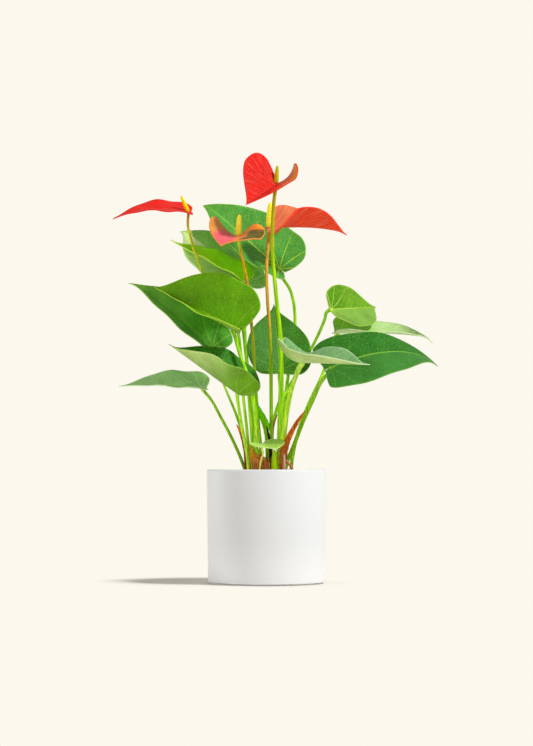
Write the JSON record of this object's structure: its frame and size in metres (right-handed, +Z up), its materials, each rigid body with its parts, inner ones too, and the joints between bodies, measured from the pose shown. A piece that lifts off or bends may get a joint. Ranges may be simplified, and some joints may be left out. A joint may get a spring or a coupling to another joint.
{
  "type": "potted anthurium",
  "caption": "Potted anthurium: glossy heart-shaped leaves and red flower spathes with yellow spadices on upright stems, in a plain straight white pot.",
  "frame": {"origin": "middle of the pot's underside, on the surface it stands on", "axes": "+Z up along the pot's axis, -Y towards the side seen in the picture, +X to that view's right"},
  "size_m": [0.3485, 0.1703, 0.4564],
  "materials": {
    "ceramic": "satin white glazed ceramic",
    "soil": "dark crumbly potting soil",
    "leaf": "waxy mid to dark green leaf with paler veins",
    "young_leaf": "waxy bright green young leaf with pale veins and margin",
    "petiole": "smooth light green stalk",
    "flower_stalk": "smooth stalk, green at the foot and golden brown above",
    "spathe": "waxy red with embossed veins",
    "pale_spathe": "waxy pink red inside, orange to olive outside",
    "spadix": "yellow, set with small florets",
    "crown": "brown fibrous root crown",
    "papery": "dry papery orange brown bract",
    "maroon": "dark maroon bract",
    "pale_wood": "pale pinkish cut stub",
    "bud": "bright green smooth bud"
  },
  "bodies": {
    "root": {"pot": "ceramic", "soil": "soil", "leaf_01": "leaf", "leaf_02": "leaf", "leaf_03": "young_leaf", "leaf_04": "leaf", "leaf_05": "leaf", "leaf_06": "leaf", "leaf_07": "leaf", "leaf_08": "leaf", "leaf_09": "leaf", "leaf_10": "leaf", "leaf_11": "young_leaf", "leaf_12": "leaf", "leaf_13": "young_leaf", "flower_stalk_1": "flower_stalk", "flower_stalk_2": "flower_stalk", "flower_stalk_3": "flower_stalk", "flower_stalk_4": "flower_stalk", "spathe_1": "spathe", "spathe_2": "spathe", "spathe_3": "pale_spathe", "spathe_4": "spathe", "spadix_1": "spadix", "spadix_2": "spadix", "spadix_3": "spadix", "spadix_4": "spadix", "crown": "crown", "bud": "bud", "sheath_base": "petiole", "sheath_wing": "petiole", "bract_long": "papery", "bract_left": "papery", "bract_brown": "papery", "bract_maroon": "maroon", "stub_pale": "pale_wood", "cut_stub": "papery"}
  },
  "joints": []
}
